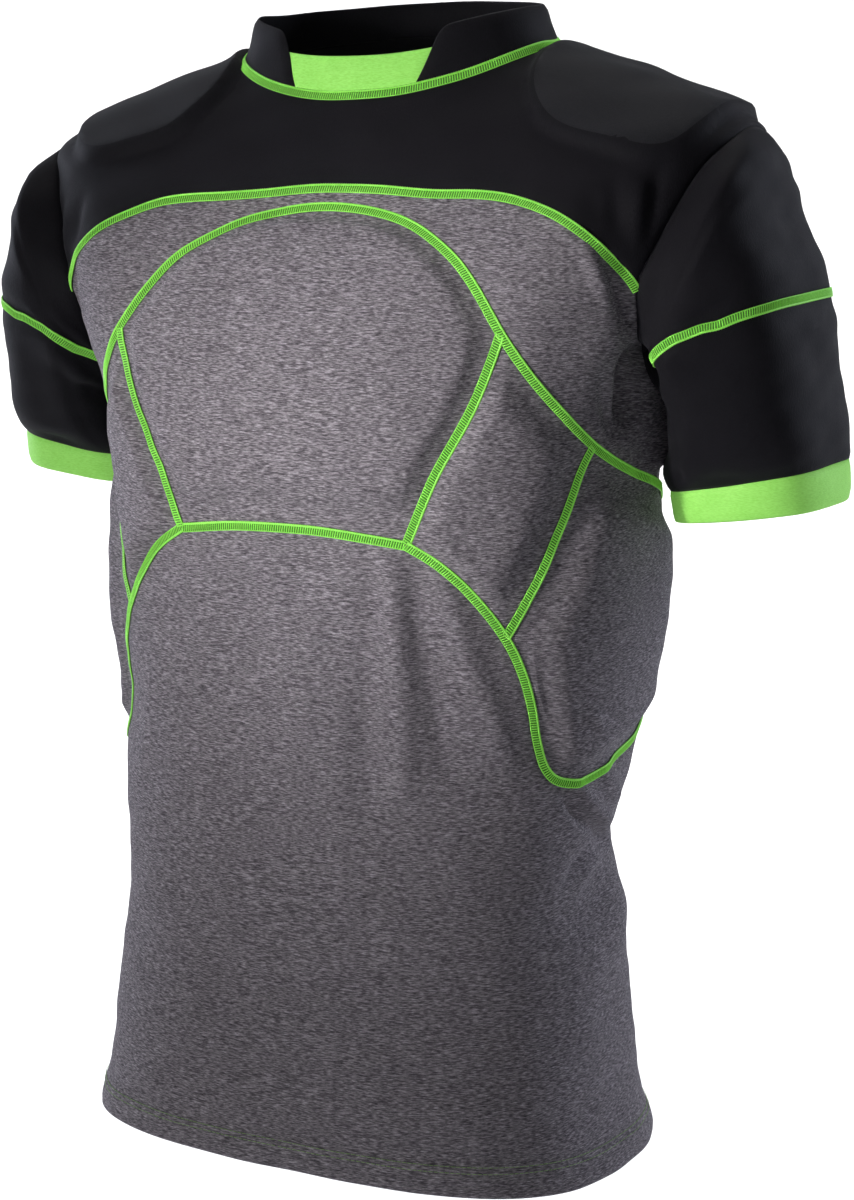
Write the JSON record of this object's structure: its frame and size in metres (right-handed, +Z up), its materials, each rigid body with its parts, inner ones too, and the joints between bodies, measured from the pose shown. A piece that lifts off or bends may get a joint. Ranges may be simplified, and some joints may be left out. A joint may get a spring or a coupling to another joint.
{
  "type": "rugby shoulder pads top",
  "caption": "Close-fitting short-sleeved rugby top with padded shoulders, upper arms, chest and ribs, a black yoke and sleeves over a grey body, and green elastic collar insert and cuffs.",
  "frame": {"origin": "on the neck's axis, at the height where the shoulders meet the collar at its sides", "axes": "+Z up the wearer's body, -Y to the front, +X to the wearer's left"},
  "size_m": [0.548, 0.2682, 0.692],
  "materials": {
    "black_knit": "smooth stretch knit with a soft sheen",
    "grey_marl": "matt marl knit with short level streaks",
    "green_elastic": "bright woven elastic and thread"
  },
  "bodies": {
    "root": {"yoke": "black_knit", "collar": "black_knit", "upper_sleeve_left": "black_knit", "upper_sleeve_right": "black_knit", "lower_sleeve_left": "black_knit", "lower_sleeve_right": "black_knit", "upper_chest": "grey_marl", "chest": "grey_marl", "front_lower": "grey_marl", "back": "grey_marl", "rib_front_left": "grey_marl", "rib_front_right": "grey_marl", "rib_side_left": "grey_marl", "rib_side_right": "grey_marl", "collar_insert": "green_elastic", "cuff_left": "green_elastic", "cuff_right": "green_elastic"}
  },
  "joints": []
}
